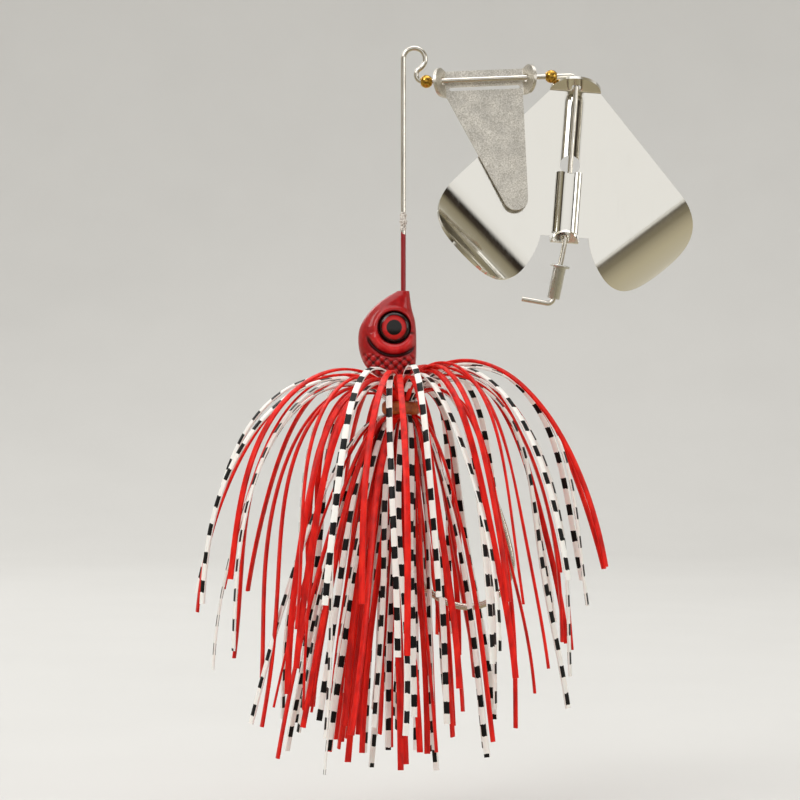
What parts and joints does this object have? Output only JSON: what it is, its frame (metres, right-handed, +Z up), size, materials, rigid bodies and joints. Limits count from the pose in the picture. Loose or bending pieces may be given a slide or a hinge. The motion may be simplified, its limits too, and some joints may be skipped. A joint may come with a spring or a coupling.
{
  "type": "buzzbait fishing lure",
  "caption": "Buzzbait fishing lure with a spinning winged blade, a hinged flapper, a painted fish head, a single hook and a silicone skirt.",
  "frame": {"origin": "inside of the top of the line-tie loop", "axes": "+Z up along the shaft towards the line tie, +X from the shaft towards the blade, -Y the side the flapper hangs on"},
  "size_m": [0.0913, 0.0745, 0.1301],
  "materials": {
    "stainless_wire": "bright drawn",
    "tumbled_steel": "tumbled satin",
    "polished_steel": "mirror polished",
    "brass": "polished",
    "aluminium": "drawn",
    "red_paint": "glossy",
    "eye": "glossy dome",
    "hook_steel": "nickel plated",
    "amber_rubber": "translucent",
    "red_silicone": "soft gloss",
    "barred_silicone": "white with printed black bars"
  },
  "bodies": {
    "lure": {"wire_form": "stainless_wire", "head": "red_paint", "eye_left": "eye", "eye_right": "eye", "hook": "hook_steel", "skirt_collar": "amber_rubber", "skirt_strand_01": "red_silicone", "skirt_strand_02": "barred_silicone", "skirt_strand_03": "red_silicone", "skirt_strand_04": "barred_silicone", "skirt_strand_05": "red_silicone", "skirt_strand_06": "red_silicone", "skirt_strand_07": "barred_silicone", "skirt_strand_08": "red_silicone", "skirt_strand_09": "barred_silicone", "skirt_strand_10": "red_silicone", "skirt_strand_11": "red_silicone", "skirt_strand_12": "barred_silicone", "skirt_strand_13": "red_silicone", "skirt_strand_14": "barred_silicone", "skirt_strand_15": "red_silicone", "skirt_strand_16": "red_silicone", "skirt_strand_17": "barred_silicone", "skirt_strand_18": "red_silicone", "skirt_strand_19": "barred_silicone", "skirt_strand_20": "red_silicone", "skirt_strand_21": "red_silicone", "skirt_strand_22": "barred_silicone", "skirt_strand_23": "red_silicone", "skirt_strand_24": "barred_silicone"},
    "flapper": {"clacker": "tumbled_steel"},
    "front_bead": {"front_bead": "brass"},
    "rear_bead": {"rear_bead": "brass"},
    "blade": {"buzz_blade": "polished_steel"},
    "rivet": {"rivet": "aluminium"}
  },
  "joints": [
    {"name": "blade_spin", "type": "hinge", "parent": "lure", "child": "blade", "pos_m": [0.0298, 0, -0.0045], "axis": [-0.075, 0, -0.9972], "range_deg": [0, 150]},
    {"name": "clacker_swing", "type": "hinge", "parent": "lure", "child": "flapper", "pos_m": [0.006, 0, -0.00546], "axis": [-0.9992, 0, -0.0401], "range_deg": [0, 180]},
    {"name": "front_bead_spin", "type": "hinge", "parent": "lure", "child": "front_bead", "pos_m": [0.0024, 0, -0.0056], "axis": [0.9992, 0, 0.0401], "continuous": true},
    {"name": "rear_bead_spin", "type": "hinge", "parent": "lure", "child": "rear_bead", "pos_m": [0.0251, 0, -0.00469], "axis": [0.9992, 0, 0.0401], "continuous": true},
    {"name": "rivet_slide", "type": "slide", "parent": "lure", "child": "rivet", "axis": [0.2028, 0, 0.9792], "range_m": [0, 0.003]}
  ]
}
